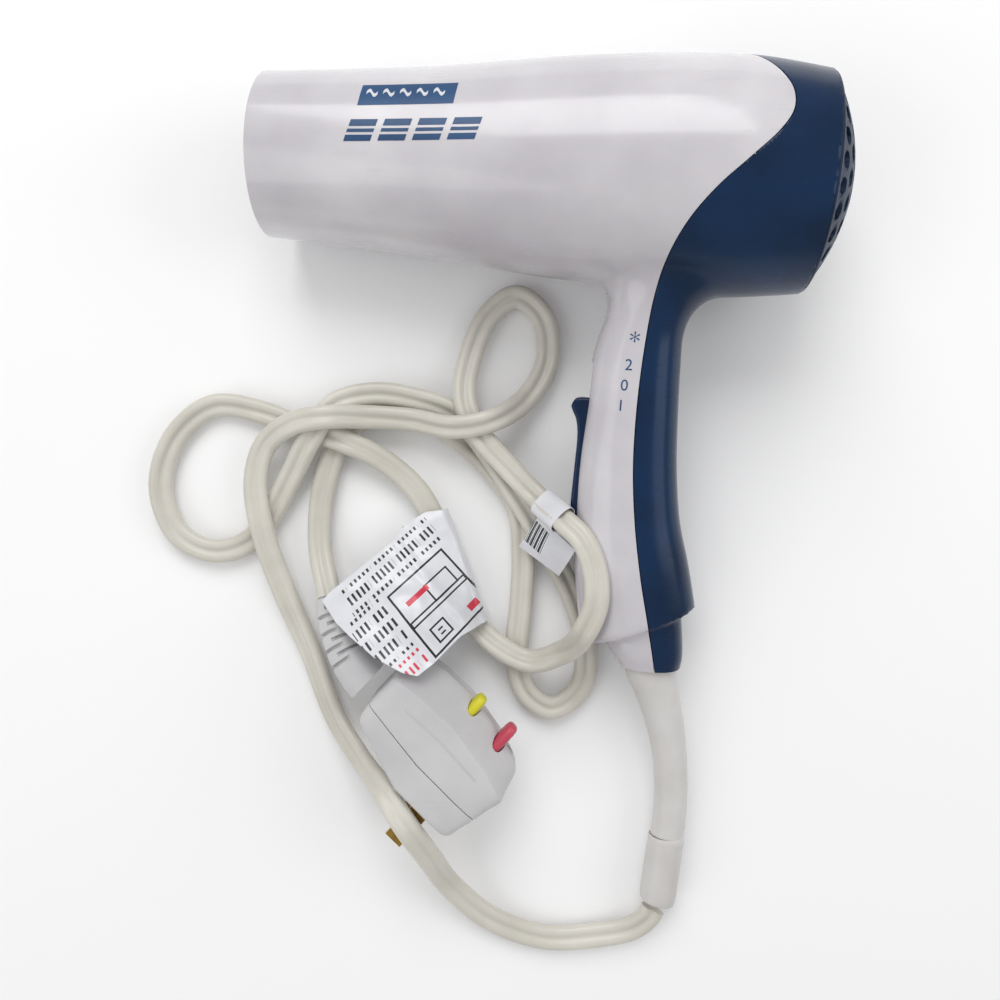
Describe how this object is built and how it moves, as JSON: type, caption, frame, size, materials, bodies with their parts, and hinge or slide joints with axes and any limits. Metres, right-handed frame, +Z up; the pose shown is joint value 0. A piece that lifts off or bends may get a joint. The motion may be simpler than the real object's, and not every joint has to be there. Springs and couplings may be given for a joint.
{
  "type": "hair dryer",
  "caption": "Pistol-grip hair dryer lying on its side, with a sliding heat switch, a perforated air inlet, a cord sleeve and a loosely looped flat cord that ends in a test plug.",
  "frame": {"origin": "on the table under the middle of the dryer and its cord sleeve, without the free cord and the plug", "axes": "+Z up from the table, +Y from the cord sleeve towards the barrel, +X from the nozzle towards the air inlet"},
  "size_m": [0.2325, 0.2977, 0.0751],
  "materials": {
    "pearl_shell": "pearl gloss",
    "navy_shell": "metallic navy gloss",
    "dark_grille": "matte",
    "mica": "flaky sheet",
    "nichrome_wire": "drawn wire",
    "zinc_steel": "zinc plated",
    "black_nylon": "moulded",
    "circuit_board": "solder mask",
    "cord_vinyl": "satin vinyl",
    "sleeve_vinyl": "satin vinyl",
    "plug_plastic": "fine moulded",
    "yellow_plastic": "satin",
    "red_plastic": "satin",
    "brass_blade": "rolled",
    "tag_vinyl": "printed vinyl film"
  },
  "bodies": {
    "dryer": {"front_housing": "pearl_shell", "rear_housing": "navy_shell", "inlet_grille": "navy_shell", "outlet_grille": "dark_grille", "mica_liner": "mica", "mica_board_flat": "mica", "mica_board_upright": "mica", "heater_coil_low": "nichrome_wire", "heater_coil_high": "nichrome_wire", "thermostat": "zinc_steel", "thermal_fuse": "zinc_steel", "motor_mount": "black_nylon", "motor_can": "zinc_steel", "motor_end_cap": "black_nylon", "diode_board": "circuit_board", "switch_body": "black_nylon", "capacitor": "red_plastic", "supply_wire_live": "cord_vinyl", "supply_wire_neutral": "cord_vinyl", "heater_wire_live": "cord_vinyl", "heater_wire_neutral": "cord_vinyl", "cord_clamp_base": "black_nylon", "cord_clamp_bridge": "black_nylon", "clamp_screw_1": "zinc_steel", "clamp_screw_2": "zinc_steel", "housing_screw_1": "zinc_steel", "housing_screw_2": "zinc_steel", "plug_wall_half": "plug_plastic", "plug_button_half": "plug_plastic", "plug_strain_relief": "plug_plastic", "blade_narrow": "brass_blade", "blade_wide": "brass_blade", "test_contact_spring": "brass_blade", "reset_contact_spring": "brass_blade", "plug_circuit_board": "circuit_board", "plug_relay": "black_nylon", "strain_relief_sleeve": "sleeve_vinyl", "sleeve_ferrule": "sleeve_vinyl", "cord_in_handle": "cord_vinyl", "cord": "cord_vinyl", "warning_tag": "tag_vinyl", "price_label": "tag_vinyl"},
    "fan": {"fan_impeller": "black_nylon", "motor_armature": "zinc_steel"},
    "slide_switch": {"slide_button": "navy_shell", "switch_carriage": "black_nylon"},
    "test_button": {"test_button": "yellow_plastic"},
    "reset_button": {"reset_button": "red_plastic"}
  },
  "joints": [
    {"name": "fan_spin", "type": "hinge", "parent": "dryer", "child": "fan", "pos_m": [-0.0904, 0.1145, 0.0256], "axis": [0.9932, -0.0825, 0.0816], "continuous": true},
    {"name": "heat_slide", "type": "slide", "parent": "dryer", "child": "slide_switch", "axis": [0.0697, 0.9864, 0.149], "range_m": [-0.0053, 0.0106]},
    {"name": "test_press", "type": "slide", "parent": "dryer", "child": "test_button", "axis": [-0.6947, -0.7193, 0], "range_m": [0, 0.0016], "stiffness_N_per_m": 300, "springref_m": -0.001},
    {"name": "reset_press", "type": "slide", "parent": "dryer", "child": "reset_button", "axis": [-0.6947, -0.7193, 0], "range_m": [0, 0.0016], "stiffness_N_per_m": 300, "springref_m": -0.001}
  ]
}
